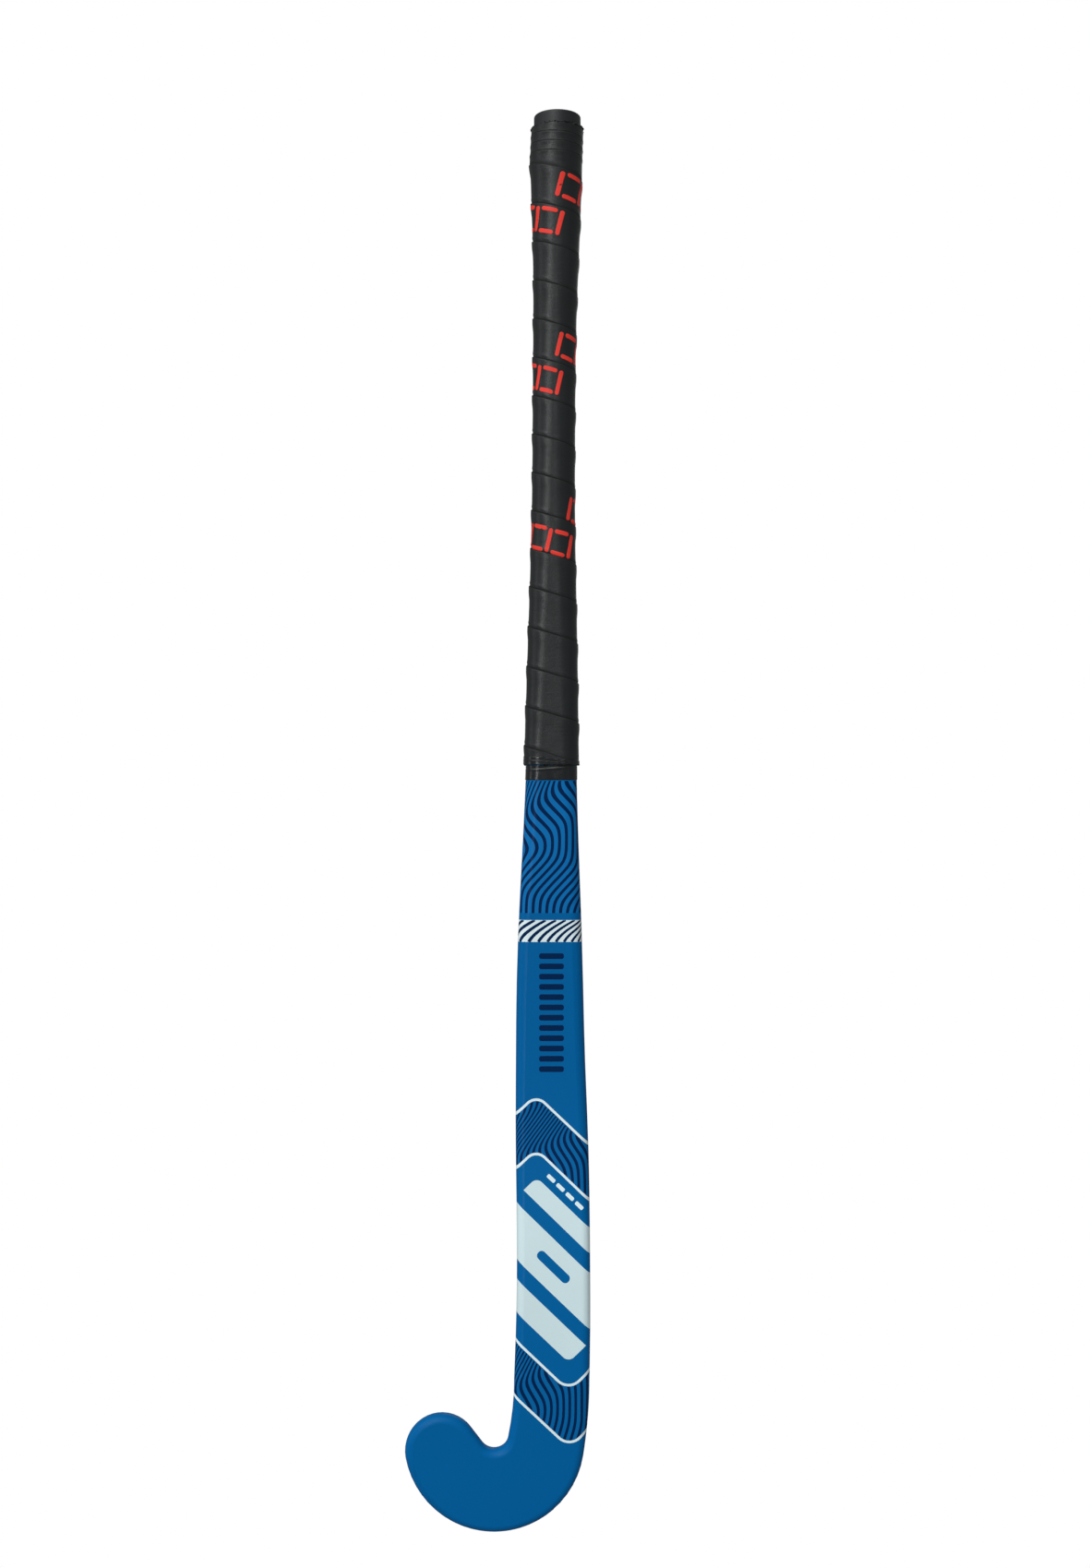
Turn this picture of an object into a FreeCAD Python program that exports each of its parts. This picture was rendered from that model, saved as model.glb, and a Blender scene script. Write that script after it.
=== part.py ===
import FreeCAD, Part
import math
import os

import Sketcher
from FreeCAD import Placement, Rotation, Vector

# A field hockey stick: a hollow composite moulding with a bowed shaft and a hooked head, its inner
# tubes, foam cores and butt plug, the wrapped grip, and the transfer films of its artwork.
# Frame: +Z up the shaft, the sole of the hook at z = 0, the flat playing face towards -Y, the toe
# towards -X. X = 0 is the middle of the hook's width, and Y = 0 the middle of the bowed depth.

SIZES = {
    "overall_length": 927.0,
    "face_plane": 23.0,  # how far the playing face lies in front of Y = 0
    "bow": 23.5,  # how far the shaft arches back from the line of face and butt
    "bow_start": 100.0,
    "bow_peak": 310.0,
    # the hook, seen from the front
    "sole_radius": 58.8,
    "sole_shift": 2.4,  # the sole arc's centre, towards the toe
    "heel_lean": 9.0,  # where the sole arc runs into the heel, in degrees below level
    "toe_radius": 24.0,
    "toe_dip": 10.3,  # where the toe arc leaves the sole arc, in degrees below level
    "hook_width": 53.7,  # from the sole up to the floor of the hook
    "valley_radius": 9.3,
    "valley_lean": 12.0,
    "join_height": 100.0,  # where the hook runs into the shaft
    # the moulding and what is bonded into it
    "shell_wall": 2.6,
    "bond_gap": 0.15,
    "tube_wall": 1.2,
    "tube_reach": 110.0,  # how far the inner tubes reach up inside the handle
    "impact_ply_thickness": 1.2,
    "impact_ply_margin": 6.5,
    "plug_length": 30.0,
    "plug_bore": 8.0,
    "spigot_fit": 0.1,
    "spigot_length": 14.0,
    # the end cap
    "cap_radius": 15.4,
    "cap_height": 9.0,
    "cap_edge_round": 1.5,
    "cap_gap": 0.1,
    # the grip
    "handle_length": 417.5,  # from the grip's lower end to the top of the moulding
    "backing_thickness": 0.5,
    "grip_thickness": 1.1,
    "grip_build_up": 0.5,  # extra thickness of the overlapping first turns
    "tape_thickness": 0.3,
    "tape_below": 10.3,  # height of the finishing tape below the grip's end
    "tape_above": 6.6,
    "tape_gap": 0.4,
    # the artwork
    "film_thickness": 0.25,
    "artwork_length": 400.4,  # hook to grip, as the artwork is drawn
    "stripe_slope": 43.0,
    "stripe_width": 1.65,
    "stripe_round": 9.0,
    "emblem_round": 5.0,
    "emblem_channel": 9.0,  # width of the two bare channels across the emblem
    "emblem_channel_pitch": 35.1,
    "emblem_slot_width": 6.0,
    "emblem_slot_length": 27.0,
    "rung_width": 16.4,
    "rung_height": 3.8,
    "rung_pitch": 6.8,
    "rung_round": 1.5,
    "bar_width": 2.6,
    "bar_length": 6.4,
    "bar_pitch": 8.4,
    "row_depth": 3.0,  # how far behind the bow's face the rows of marks are cut
    "panel_gap": 0.15,  # bare colour between a pinstripe and the wave panel beside it
    # half-size of the cutting boxes, well past the stick's sides
    "reach": 80.0,
}
FIELDS = ("share", "drift", "width", "depth", "face_round", "back_round")
# Sections of the shaft: its share of the length between hook and grip, how far its middle lies from
# the neck's, its width and depth, and the roundings of its face edges and its back edges.
SHAFT_SECTIONS = {
    "neck": (0.0, 0.0, 49.05, 20.0, 5.0, 14.0),
    "ankle": (0.127, 1.1, 48.2, 20.4, 5.2, 14.0),
    "shin": (0.291, 0.8, 48.2, 21.2, 5.5, 14.2),
    "calf": (0.443, -0.3, 47.2, 22.0, 6.0, 14.5),
    "knee": (0.595, -1.1, 44.9, 22.2, 6.5, 14.5),
    "thigh": (0.722, -1.1, 42.2, 22.4, 7.0, 14.0),
    "hip": (0.861, -0.7, 37.4, 22.8, 8.0, 13.5),
    "grip_end": (1.0, -0.15, 33.4, 23.0, 9.0, 13.0),
}
# Sections of the handle: the same, as a share of the length between the grip's lower end and the butt.
HANDLE_SECTIONS = {
    "swell": (0.155, 0.5, 30.6, 23.2, 9.6, 12.6),
    "taper": (0.297, 0.9, 27.4, 23.2, 10.0, 12.0),
    "waist": (0.463, 1.3, 25.1, 23.2, 10.4, 11.6),
    "palm": (0.652, 1.8, 25.1, 23.6, 10.8, 11.6),
    "flare": (0.806, 2.8, 26.8, 25.2, 12.0, 12.4),
    "collar": (0.91, 3.0, 29.2, 28.6, 13.8, 14.0),
    "butt": (1.0, 3.7, 30.0, 30.0, 14.6, 14.6),
}
# Corners of the artwork's bands: across, then up from the sole.
BAND_CORNERS = {
    "pinstripe_1": (24.9, 282.7),
    "pinstripe_2": (24.9, 247.5),
    "emblem_top": (25.3, 228.5),
    "emblem_foot": (46.0, 111.5),
    "pinstripe_3": (46.0, 94.4),
    "pinstripe_4": (46.5, 57.5),
}
# Straight bands and rows: heights above the sole, and the middles of the rows.
LEVELS = {
    "upper_waves_foot": 401.9,
    "upper_waves_top": 489.8,
    "pale_band_foot": 382.8,
    "pale_band_top": 397.3,
    "rungs_foot": 296.7,
    "rungs_middle": 35.0,
    "emblem_middle": 36.2,
    "emblem_lower_channel": 148.0,
    "emblem_slot_up": 172.0,
    "bars_across": 31.5,
    "bars_up": 229.0,
}
RUNG_COUNT = 12
BAR_COUNT = 4
CHANNEL_COUNT = 2

doc = FreeCAD.newDocument("field_hockey_stick")
sheet = doc.addObject("Spreadsheet::Sheet", "sizes")
nodes = {}


def fill_sheet():
    cells = dict(SIZES)
    for sections in (SHAFT_SECTIONS, HANDLE_SECTIONS):
        for name, values in sections.items():
            for field, value in zip(FIELDS, values):
                cells[f"{name}_{field}"] = value
    for name, (across, up) in BAND_CORNERS.items():
        cells[f"{name}_across"] = across
        cells[f"{name}_up"] = up
    cells.update(LEVELS)
    for row, (name, value) in enumerate(cells.items(), start=1):
        sheet.set(f"A{row}", name)
        sheet.set(f"B{row}", str(value))
        sheet.setAlias(f"B{row}", name)
    doc.recompute()


def size(name):
    return float(sheet.get(name))


def evaluate(expression):
    return float(doc.sizes.evalExpression(expression.replace("sizes.", "")))


# ---------------------------------------------------------------- heights, the bow, the neck

SHELL_TOP = "(sizes.overall_length - sizes.cap_height - sizes.cap_gap)"
GRIP_END = f"({SHELL_TOP} - sizes.handle_length)"
GRIP_BUILD = "(sizes.backing_thickness + sizes.grip_thickness + sizes.grip_build_up)"
HEEL = (
    "((sizes.join_height - sizes.sole_radius * (1 - sin(sizes.heel_lean))) / sin(sizes.heel_lean))"
)
NECK_RIGHT = (
    "(sizes.sole_radius * cos(sizes.heel_lean) - sizes.sole_shift"
    f" + {HEEL} * (1 - cos(sizes.heel_lean)))"
)
NECK_MIDDLE = f"({NECK_RIGHT} - sizes.neck_width / 2)"
FACE = "(-sizes.face_plane)"


def section_height(name):
    if name in SHAFT_SECTIONS:
        return f"(sizes.join_height + sizes.{name}_share * ({GRIP_END} - sizes.join_height))"
    return f"({GRIP_END} + sizes.{name}_share * sizes.handle_length)"


def on_print(height):
    """A height of the artwork, which stretches with the length it is printed on."""
    stretch = f"({GRIP_END} - sizes.join_height) / sizes.artwork_length"
    return f"(sizes.join_height + ({height} - sizes.join_height) * {stretch})"


def face_at(height):
    """Y of the moulding's face at a height: flat at the hook, arched back along the shaft."""
    if evaluate(height) <= size("bow_start"):
        return FACE
    if evaluate(height) < size("bow_peak"):
        rise = f"(({height} - sizes.bow_start) / (sizes.bow_peak - sizes.bow_start))"
        return f"({FACE} + sizes.bow * {rise} ^ 2 * (3 - 2 * {rise}))"
    fall = f"(({height} - sizes.bow_peak) / ({SHELL_TOP} - sizes.bow_peak))"
    return f"({FACE} + sizes.bow - (sizes.bow - {GRIP_BUILD}) * {fall} ^ 2 * (3 - {fall}) / 2)"


# ---------------------------------------------------------------- sketches


def add_sketch(body, name, role):
    sketch = body.newObject("Sketcher::SketchObject", name)
    plane = next(plane for plane in body.Origin.OriginFeatures if plane.Role == role)
    sketch.AttachmentSupport = (plane, "")
    sketch.MapMode = "FlatFace"
    return sketch


def place(sketch, **offsets):
    for axis, expression in offsets.items():
        sketch.setExpression(f".AttachmentOffset.Base.{axis}", expression)


def bind(sketch, kind, places, expression):
    index = sketch.addConstraint(Sketcher.Constraint(kind, *places, evaluate(expression)))
    sketch.setExpression(f"Constraints[{index}]", expression)


def relate(sketch, kind, *places):
    sketch.addConstraint(Sketcher.Constraint(kind, *places))


def arc(centre, radius, start, end):
    circle = Part.Circle(Vector(*centre, 0), Vector(0, 0, 1), radius)
    return Part.ArcOfCircle(circle, math.radians(start), math.radians(end))


def line(start, end):
    return Part.LineSegment(Vector(*start, 0), Vector(*end, 0))


def rounded_sketch(sketch, width, depth, near_round, far_round):
    """A closed outline with its lower left corner at the origin: four sides joined by four arcs."""
    w, d, near, far = (evaluate(e) for e in (width, depth, near_round, far_round))
    outline = [
        line((near, 0), (w - near, 0)),
        arc((w - near, near), near, 270, 360),
        line((w, near), (w, d - far)),
        arc((w - far, d - far), far, 0, 90),
        line((w - far, d), (far, d)),
        arc((far, d - far), far, 90, 180),
        line((0, d - far), (0, near)),
        arc((near, near), near, 180, 270),
    ]
    sketch.addGeometry(outline, False)
    for index in range(len(outline)):
        relate(sketch, "Tangent", index, 2, (index + 1) % len(outline), 1)
    for index, kind in enumerate(("Horizontal", "Vertical", "Horizontal", "Vertical")):
        relate(sketch, kind, 2 * index)
    relate(sketch, "Equal", 1, 7)
    relate(sketch, "Equal", 3, 5)
    relate(sketch, "PointOnObject", 0, 1, -1)
    relate(sketch, "PointOnObject", 6, 1, -2)
    bind(sketch, "Radius", (1,), near_round)
    bind(sketch, "Radius", (3,), far_round)
    bind(sketch, "DistanceX", (-1, 1, 2, 1), width)
    bind(sketch, "DistanceY", (-1, 1, 4, 1), depth)


def hook_sketch(body, inset, out):
    """The hook's outline from the front, drawn in by the inset all round but at its level top."""
    sketch = add_sketch(body, f"{body.Name}_outline", "XZ_Plane")
    place(sketch, z=out)
    step = evaluate(inset)
    sole, toe, valley = (size(n) for n in ("sole_radius", "toe_radius", "valley_radius"))
    heel_lean, dip, lean = (math.radians(size(n)) for n in ("heel_lean", "toe_dip", "valley_lean"))
    join = size("join_height")
    right = evaluate(NECK_RIGHT)
    left = right - size("neck_width")
    heel = evaluate(HEEL)
    sole_centre = (-size("sole_shift"), sole)
    toe_centre = (
        sole_centre[0] - (sole - toe) * math.cos(dip),
        sole_centre[1] - (sole - toe) * math.sin(dip),
    )
    valley_up = size("hook_width") + valley
    flank = (join - valley_up + valley * math.sin(lean)) / math.sin(lean)
    valley_centre = (left - flank * (1 - math.cos(lean)) - valley * math.cos(lean), valley_up)
    reach = (valley_centre[0] - toe_centre[0], valley_centre[1] - toe_centre[1])
    normal = math.atan2(reach[1], reach[0]) + math.acos((toe + valley) / math.hypot(*reach))
    across, up = math.cos(normal), math.sin(normal)
    turn = math.degrees(normal)
    outline = [
        line((right - step, join), (left + step, join)),
        arc((left - flank, join), flank + step, -size("valley_lean"), 0),
        arc(valley_centre, valley + step, 180 + turn, 360 - size("valley_lean")),
        line(
            (valley_centre[0] - (valley + step) * across, valley_up - (valley + step) * up),
            (toe_centre[0] + (toe - step) * across, toe_centre[1] + (toe - step) * up),
        ),
        arc(toe_centre, toe - step, turn, 180 + size("toe_dip")),
        arc(sole_centre, sole - step, 180 + size("toe_dip"), 360 - size("heel_lean")),
        arc((right - heel, join), heel - step, -size("heel_lean"), 0),
    ]
    sketch.addGeometry(outline, False)
    top, inner, floor, ramp, tip, sole_arc, heel_arc = range(len(outline))
    for first, first_end, second, second_end in (
        (inner, 1, floor, 2),
        (floor, 1, ramp, 1),
        (ramp, 2, tip, 1),
        (tip, 2, sole_arc, 1),
        (sole_arc, 2, heel_arc, 1),
    ):
        relate(sketch, "Tangent", first, first_end, second, second_end)
    relate(sketch, "Coincident", heel_arc, 2, top, 1)
    relate(sketch, "Coincident", top, 2, inner, 2)
    relate(sketch, "Horizontal", top)
    relate(sketch, "Horizontal", inner, 3, inner, 2)
    relate(sketch, "Horizontal", heel_arc, 3, heel_arc, 2)
    bind(sketch, "Radius", (floor,), f"sizes.valley_radius + {inset}")
    bind(sketch, "Radius", (tip,), f"sizes.toe_radius - {inset}")
    bind(sketch, "Radius", (sole_arc,), f"sizes.sole_radius - {inset}")
    bind(sketch, "DistanceX", (sole_arc, 3, -1, 1), "sizes.sole_shift")
    bind(sketch, "DistanceY", (-1, 1, sole_arc, 3), "sizes.sole_radius")
    bind(sketch, "DistanceY", (-1, 1, top, 1), "sizes.join_height")
    bind(sketch, "DistanceX", (top, 2, top, 1), f"sizes.neck_width - 2 * {inset}")
    bind(sketch, "DistanceY", (-1, 1, floor, 3), "sizes.hook_width + sizes.valley_radius")
    for curve, end, radius, lean_cell in (
        (sole_arc, 2, f"(sizes.sole_radius - {inset})", "heel_lean"),
        (tip, 2, f"(sizes.toe_radius - {inset})", "toe_dip"),
        (floor, 2, f"(sizes.valley_radius + {inset})", "valley_lean"),
    ):
        bind(sketch, "DistanceY", (curve, end, curve, 3), f"{radius} * sin(sizes.{lean_cell})")
    return sketch


# ---------------------------------------------------------------- solids of the moulding


def new_body(label):
    body = doc.addObject("PartDesign::Body", label)
    body.Label = label
    return body


def pad(body, sketch, length):
    feature = body.newObject("PartDesign::Pad", f"{body.Name}_pad")
    feature.Profile = sketch
    feature.setExpression("Length", length)
    doc.recompute()
    return feature


def round_edges(body, base, chosen, radius, name):
    edges = [f"Edge{i}" for i, edge in enumerate(base.Shape.Edges, start=1) if chosen(edge)]
    feature = body.newObject("PartDesign::Fillet", f"{body.Name}_{name}")
    feature.Base = (base, edges)
    feature.setExpression("Radius", radius)
    doc.recompute()
    return feature


def hook(body, inset, face_inset=None, depth=None):
    """The hook as a slab of its outline."""
    face = face_inset or inset
    thick = depth or f"(sizes.neck_depth - 2 * {inset})"
    out = f"sizes.face_plane - {face} - {thick}"
    return pad(body, hook_sketch(body, inset, out), thick)


def lies_at(value):
    """Picks the edges of a slab's outline at one depth, but not the one along its level top."""
    join = size("join_height")

    def chosen(edge):
        box = edge.BoundBox
        level = abs(box.YMin - value) < 1e-4 and abs(box.YMax - value) < 1e-4
        return level and box.ZMin < join - 1e-3

    return chosen


def round_hook(body, slab, inset):
    face = evaluate(f"-sizes.face_plane + {inset}")
    back = evaluate(f"-sizes.face_plane + sizes.neck_depth - {inset}")
    slab = round_edges(body, slab, lies_at(face), f"sizes.neck_face_round - {inset}", "face_round")
    return round_edges(body, slab, lies_at(back), f"sizes.neck_back_round - {inset}", "back_round")


def shaft(body, inset, extra=None):
    """The bowed shaft and handle, lofted through its sections, each drawn in by the inset."""
    sections = []
    for name in [*SHAFT_SECTIONS, *HANDLE_SECTIONS]:
        own = f"({inset} - {extra[name]})" if extra and name in extra else inset
        height = section_height(name)
        sketch = add_sketch(body, f"{body.Name}_{name}", "XY_Plane")
        middle = f"({NECK_MIDDLE} + sizes.{name}_drift)"
        place(
            sketch,
            x=f"{middle} - sizes.{name}_width / 2 + {own}",
            y=f"{face_at(height)} + {own}",
            z=height,
        )
        rounded_sketch(
            sketch,
            f"sizes.{name}_width - 2 * {own}",
            f"sizes.{name}_depth - 2 * {own}",
            f"sizes.{name}_face_round - {own}",
            f"sizes.{name}_back_round - {own}",
        )
        sections.append(sketch)
    return loft(body, sections)


def loft(body, sections):
    doc.recompute()
    feature = body.newObject("PartDesign::AdditiveLoft", f"{body.Name}_loft")
    feature.Profile = sections[0]
    feature.Sections = sections[1:]
    doc.recompute()
    return feature


def moulding_form(label, inset):
    body = new_body(label)
    round_hook(body, hook(body, inset), inset)
    shaft(body, inset)
    return body


def shaft_form(label, inset, extra=None):
    body = new_body(label)
    shaft(body, inset, extra)
    return body


# ---------------------------------------------------------------- cutting and joining


def box(label, low, high, left="-sizes.reach", right="sizes.reach", front="-sizes.reach"):
    """A box between two heights, wider than the stick unless told otherwise."""
    solid = doc.addObject("Part::Box", label)
    solid.setExpression("Length", f"{right} - {left}")
    solid.setExpression("Width", f"sizes.reach - {front}")
    solid.setExpression("Height", f"{high} - {low}")
    solid.setExpression(".Placement.Base.x", left)
    solid.setExpression(".Placement.Base.y", front)
    solid.setExpression(".Placement.Base.z", low)
    return solid


def combine(kind, label, base, tool):
    solid = doc.addObject(f"Part::{kind}", label)
    solid.Base = base
    solid.Tool = tool
    solid.Label = label
    return solid


def common(label, base, tool):
    return combine("Common", label, base, tool)


def cut(label, base, tool):
    return combine("Cut", label, base, tool)


def keep(solid, label):
    """Marks a finished sub-part, which is written to a file of its own."""
    solid.Label = label
    nodes[label] = solid
    return solid


def layer(label, form, over, low, high):
    """The part of a form between two heights, less what it is wrapped round."""
    length = common(f"{label}_length", form, box(f"{label}_span", low, high))
    return keep(cut(label, length, over), label)


# ---------------------------------------------------------------- the artwork's outlines


def band_edge(sketch, corner, direction, radius):
    """One edge of a band, from right to left: a straight run, a rounded corner, a straight run.

    The direction is 1 where the corner points up and -1 where it points down. The sketch's origin
    lies a reach to the toe side of the frame's, and four reaches below it.
    """
    across = f"(sizes.reach + {corner[0]})"
    up = f"(4 * sizes.reach + {corner[1]})"
    right_up = f"({up} - {direction} * (2 * sizes.reach - {across}) * tan(sizes.stripe_slope))"
    left_up = f"({up} - {direction} * {across} * tan(sizes.stripe_slope))"
    centre_up = f"({up} - {direction} * {radius} / cos(sizes.stripe_slope))"
    slope = size("stripe_slope")
    bend = evaluate(radius)
    centre = (evaluate(across), evaluate(centre_up))
    start, end = (90 - slope, 90 + slope) if direction > 0 else (270 - slope, 270 + slope)
    aside = bend * math.sin(math.radians(slope))
    touch_up = centre[1] + direction * bend * math.cos(math.radians(slope))
    right, bow, left = sketch.addGeometry(
        [
            line((2 * size("reach"), evaluate(right_up)), (centre[0] + aside, touch_up)),
            arc(centre, bend, start, end),
            line((centre[0] - aside, touch_up), (0, evaluate(left_up))),
        ],
        False,
    )
    right_touch, left_touch = (1, 2) if direction > 0 else (2, 1)
    relate(sketch, "Tangent", right, 2, bow, right_touch)
    relate(sketch, "Tangent", bow, left_touch, left, 1)
    relate(sketch, "PointOnObject", left, 2, -2)
    bind(sketch, "Radius", (bow,), radius)
    bind(sketch, "DistanceX", (-1, 1, bow, 3), across)
    bind(sketch, "DistanceY", (-1, 1, bow, 3), centre_up)
    bind(sketch, "DistanceX", (-1, 1, right, 1), "2 * sizes.reach")
    return right, left


def band(label, upper, lower):
    """A prism through the stick between two edges, each a corner, a direction and a radius."""
    body = new_body(f"{label}_prism")
    sketch = add_sketch(body, f"{label}_outline", "XZ_Plane")
    place(sketch, x="-sizes.reach", y="-4 * sizes.reach", z="-sizes.reach")
    upper_right, upper_left = band_edge(sketch, *upper)
    lower_right, lower_left = band_edge(sketch, *lower)
    corners = [
        sketch.getPoint(upper_left, 2),
        sketch.getPoint(lower_left, 2),
        sketch.getPoint(lower_right, 1),
        sketch.getPoint(upper_right, 1),
    ]
    left = sketch.addGeometry(Part.LineSegment(corners[0], corners[1]), False)
    right = sketch.addGeometry(Part.LineSegment(corners[2], corners[3]), False)
    relate(sketch, "Coincident", left, 1, upper_left, 2)
    relate(sketch, "Coincident", left, 2, lower_left, 2)
    relate(sketch, "Coincident", right, 1, lower_right, 1)
    relate(sketch, "Coincident", right, 2, upper_right, 1)
    pad(body, sketch, "2 * sizes.reach")
    return body


def corner(name, down="0"):
    """A named corner of the artwork, moved down by a width measured square to the stripes."""
    drop = f"{down} / cos(sizes.stripe_slope)"
    return f"sizes.{name}_across", f"({on_print(f'sizes.{name}_up')} - {drop})"


def film(label, shape):
    """A transfer film: the skin of the moulding inside a shape's outline, flush with its surface."""
    return keep(cut(label, common(f"{label}_skin", outside, shape), print_bed), label)


def stripe(label, direction):
    upper = (corner(label), direction, "sizes.stripe_round")
    lower_round = f"(sizes.stripe_round - {direction} * sizes.stripe_width)"
    film(label, band(label, upper, (corner(label, "sizes.stripe_width"), direction, lower_round)))


def panel(label, above, below, direction):
    """A wave panel between two pinstripes, a gap away from each."""
    inner = "(sizes.stripe_width + sizes.panel_gap)"
    upper_round = f"(sizes.stripe_round - {direction} * {inner})"
    lower_round = f"(sizes.stripe_round + {direction} * sizes.panel_gap)"
    upper = (corner(above, inner), direction, upper_round)
    lower = (corner(below, "(-sizes.panel_gap)"), direction, lower_round)
    film(label, band(label, upper, lower))


def marks(label, count, first, slope, width, height, radius, pitch, axis, back):
    """Prisms of rounded marks, repeated along one axis of their sketch, up to a depth at the back."""
    body = new_body(f"{label}_prism")
    body.AllowCompound = True
    sketch = add_sketch(body, f"{label}_outline", "XZ_Plane")
    turn = Rotation(Vector(0, 0, 1), -size(slope) if slope else 0)
    sketch.AttachmentOffset = Placement(Vector(), turn)
    place(sketch, x=first[0], y=first[1], z=f"-{back}")
    rounded_sketch(sketch, width, height, radius, radius)
    base = pad(body, sketch, "2 * sizes.reach")
    if count > 1:
        pattern = body.newObject("PartDesign::LinearPattern", f"{label}_pattern")
        pattern.Originals = [base]
        pattern.Direction = (sketch, [axis])
        pattern.Occurrences = count
        pattern.setExpression("Length", f"{pitch} * {count - 1}")
        body.Tip = pattern
    return body


def centred_on_slope(across, up, length, width):
    """Where a sloping mark's corner lies, so that its middle is at a place on the face."""
    aside = f"({length} / 2 * cos(sizes.stripe_slope) + {width} / 2 * sin(sizes.stripe_slope))"
    down = f"({width} / 2 * cos(sizes.stripe_slope) - {length} / 2 * sin(sizes.stripe_slope))"
    return f"{across} - {aside}", f"{up} - {down}"


# ---------------------------------------------------------------- the sub-parts


def make_inner_tubes():
    """The two tubes that stiffen the shaft: each fills its side of the cavity, with a rib between."""
    inner_form = shaft_form("tube_hollow", f"({ROOM} + sizes.tube_wall)")
    low = "(sizes.join_height + sizes.bond_gap)"
    middle = f"({NECK_MIDDLE})"
    for label, left, right, hollow_left, hollow_right in (
        (
            "toe_side_tube",
            "-sizes.reach",
            f"({middle} - sizes.bond_gap / 2)",
            "-sizes.reach",
            f"({middle} - sizes.bond_gap / 2 - sizes.tube_wall)",
        ),
        (
            "heel_side_tube",
            f"({middle} + sizes.bond_gap / 2)",
            "sizes.reach",
            f"({middle} + sizes.bond_gap / 2 + sizes.tube_wall)",
            "sizes.reach",
        ),
    ):
        half = box(f"{label}_half", low, TUBE_TOP, left, right)
        hollow_half = box(f"{label}_hollow_half", low, TUBE_TOP, hollow_left, hollow_right)
        solid = common(f"{label}_solid", bonded, half)
        hollow = common(f"{label}_hollow", inner_form, hollow_half)
        keep(cut(label, solid, hollow), label)


def make_head_filling():
    """The stiff ply behind the playing face, and the foam that fills the hook behind it."""
    ply = new_body("impact_ply")
    face = f"({ROOM})"
    hook(ply, "sizes.impact_ply_margin", face, "sizes.impact_ply_thickness")
    keep(ply, "impact_ply")
    front = f"({FACE} + {ROOM} + sizes.impact_ply_thickness + sizes.bond_gap)"
    room = box("head_room", "-sizes.reach", "sizes.join_height", front=front)
    keep(common("head_core", bonded, room), "head_core")


def make_handle_filling():
    """The damping foam inside the handle, and the plug that closes its end."""
    low = f"({TUBE_TOP} + sizes.bond_gap)"
    plug_foot = f"({SHELL_TOP} - sizes.plug_length)"
    foam_room = box("foam_room", low, f"({plug_foot} - sizes.bond_gap)")
    keep(common("handle_core", bonded, foam_room), "handle_core")
    blank = common("plug_blank", bonded, box("plug_room", plug_foot, SHELL_TOP))
    bore = doc.addObject("Part::Cylinder", "plug_bore_tool")
    bore.setExpression("Radius", "sizes.plug_bore / 2")
    bore.setExpression("Height", "sizes.plug_length * 2")
    bore.setExpression(".Placement.Base.x", BUTT_ACROSS)
    bore.setExpression(".Placement.Base.y", BUTT_DEEP)
    bore.setExpression(".Placement.Base.z", f"{plug_foot} - sizes.plug_length / 2")
    keep(cut("butt_plug", blank, bore), "butt_plug")


def make_end_cap():
    """The moulded cap: a rounded disc with a hollow underside and a spigot for the plug's bore."""
    body = new_body("end_cap")
    sketch = add_sketch(body, "end_cap_profile", "XZ_Plane")
    place(sketch, x=BUTT_ACROSS, y="sizes.overall_length - sizes.cap_height", z=f"-{BUTT_DEEP}")
    radius, height = size("cap_radius"), size("cap_height")
    edge, wall = size("cap_edge_round"), size("shell_wall")
    spigot, drop = size("plug_bore") / 2 - size("spigot_fit"), size("spigot_length")
    crown = height - wall
    rim = radius - wall
    outline = [
        line((0, height), (radius - edge, height)),
        arc((radius - edge, height - edge), edge, 0, 90),
        line((radius, height - edge), (radius, 0)),
        line((radius, 0), (rim, 0)),
        line((rim, 0), (rim, crown)),
        line((rim, crown), (spigot, crown)),
        line((spigot, crown), (spigot, -drop)),
        line((spigot, -drop), (0, -drop)),
        line((0, -drop), (0, height)),
    ]
    sketch.addGeometry(outline, False)
    relate(sketch, "Tangent", 0, 2, 1, 2)
    relate(sketch, "Tangent", 1, 1, 2, 1)
    for first in range(2, 8):
        relate(sketch, "Coincident", first, 2, first + 1, 1)
    relate(sketch, "Coincident", 8, 2, 0, 1)
    for flat in (0, 3, 5, 7):
        relate(sketch, "Horizontal", flat)
    for plumb in (2, 4, 6):
        relate(sketch, "Vertical", plumb)
    relate(sketch, "PointOnObject", 8, 1, -2)
    relate(sketch, "PointOnObject", 8, 2, -2)
    relate(sketch, "PointOnObject", 2, 2, -1)
    bind(sketch, "Radius", (1,), "sizes.cap_edge_round")
    bind(sketch, "DistanceX", (-1, 1, 2, 2), "sizes.cap_radius")
    bind(sketch, "DistanceY", (-1, 1, 0, 1), "sizes.cap_height")
    bind(sketch, "DistanceX", (-1, 1, 3, 2), "sizes.cap_radius - sizes.shell_wall")
    bind(sketch, "DistanceY", (-1, 1, 4, 2), "sizes.cap_height - sizes.shell_wall")
    bind(sketch, "DistanceX", (-1, 1, 6, 1), "sizes.plug_bore / 2 - sizes.spigot_fit")
    bind(sketch, "DistanceY", (7, 1, -1, 1), "sizes.spigot_length")
    turned = body.newObject("PartDesign::Revolution", "end_cap_turned")
    turned.Profile = sketch
    turned.ReferenceAxis = (sketch, ["V_Axis"])
    turned.Angle = 360
    keep(body, "end_cap")


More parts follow.
